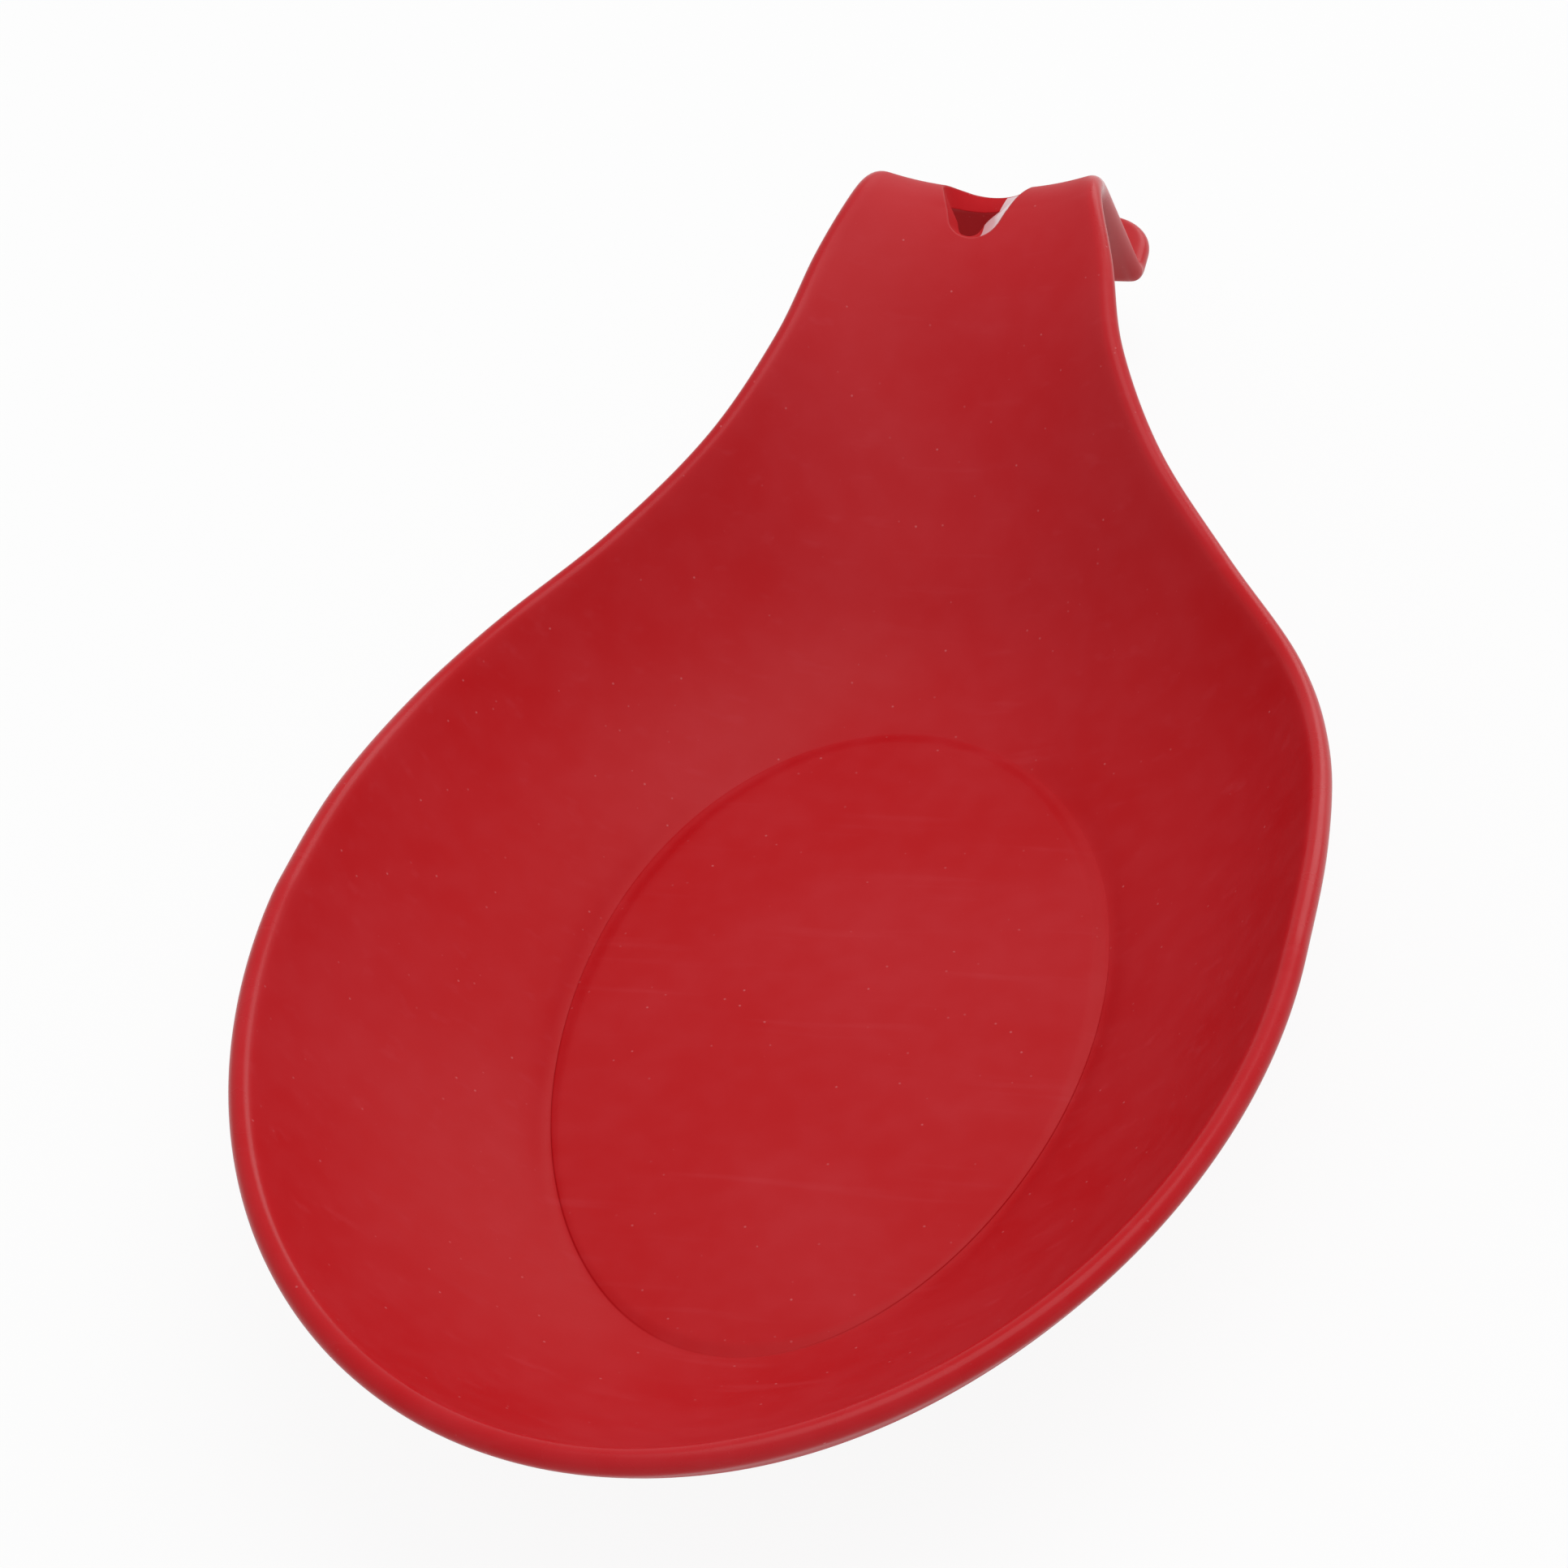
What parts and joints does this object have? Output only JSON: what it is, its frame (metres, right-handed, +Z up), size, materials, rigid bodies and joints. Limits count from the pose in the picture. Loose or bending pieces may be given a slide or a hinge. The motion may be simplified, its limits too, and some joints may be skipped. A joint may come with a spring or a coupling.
{
  "type": "spoon rest",
  "caption": "Oval silicone dish that holds the bowl of a cooking spoon, with a channelled neck rising to a notched crest and a tail with a flat lip behind.",
  "frame": {"origin": "under the middle of the whole length, on the table that the dish's flat underside stands on", "axes": "+X across the dish, +Y from the dish's front to the tail and its lip, +Z up"},
  "size_m": [0.097, 0.1964, 0.0347],
  "materials": {
    "silicone": "matte"
  },
  "bodies": {
    "root": {"floor_pad": "silicone", "dish_wall": "silicone", "neck": "silicone", "crest": "silicone", "tail": "silicone", "lip": "silicone"}
  },
  "joints": []
}
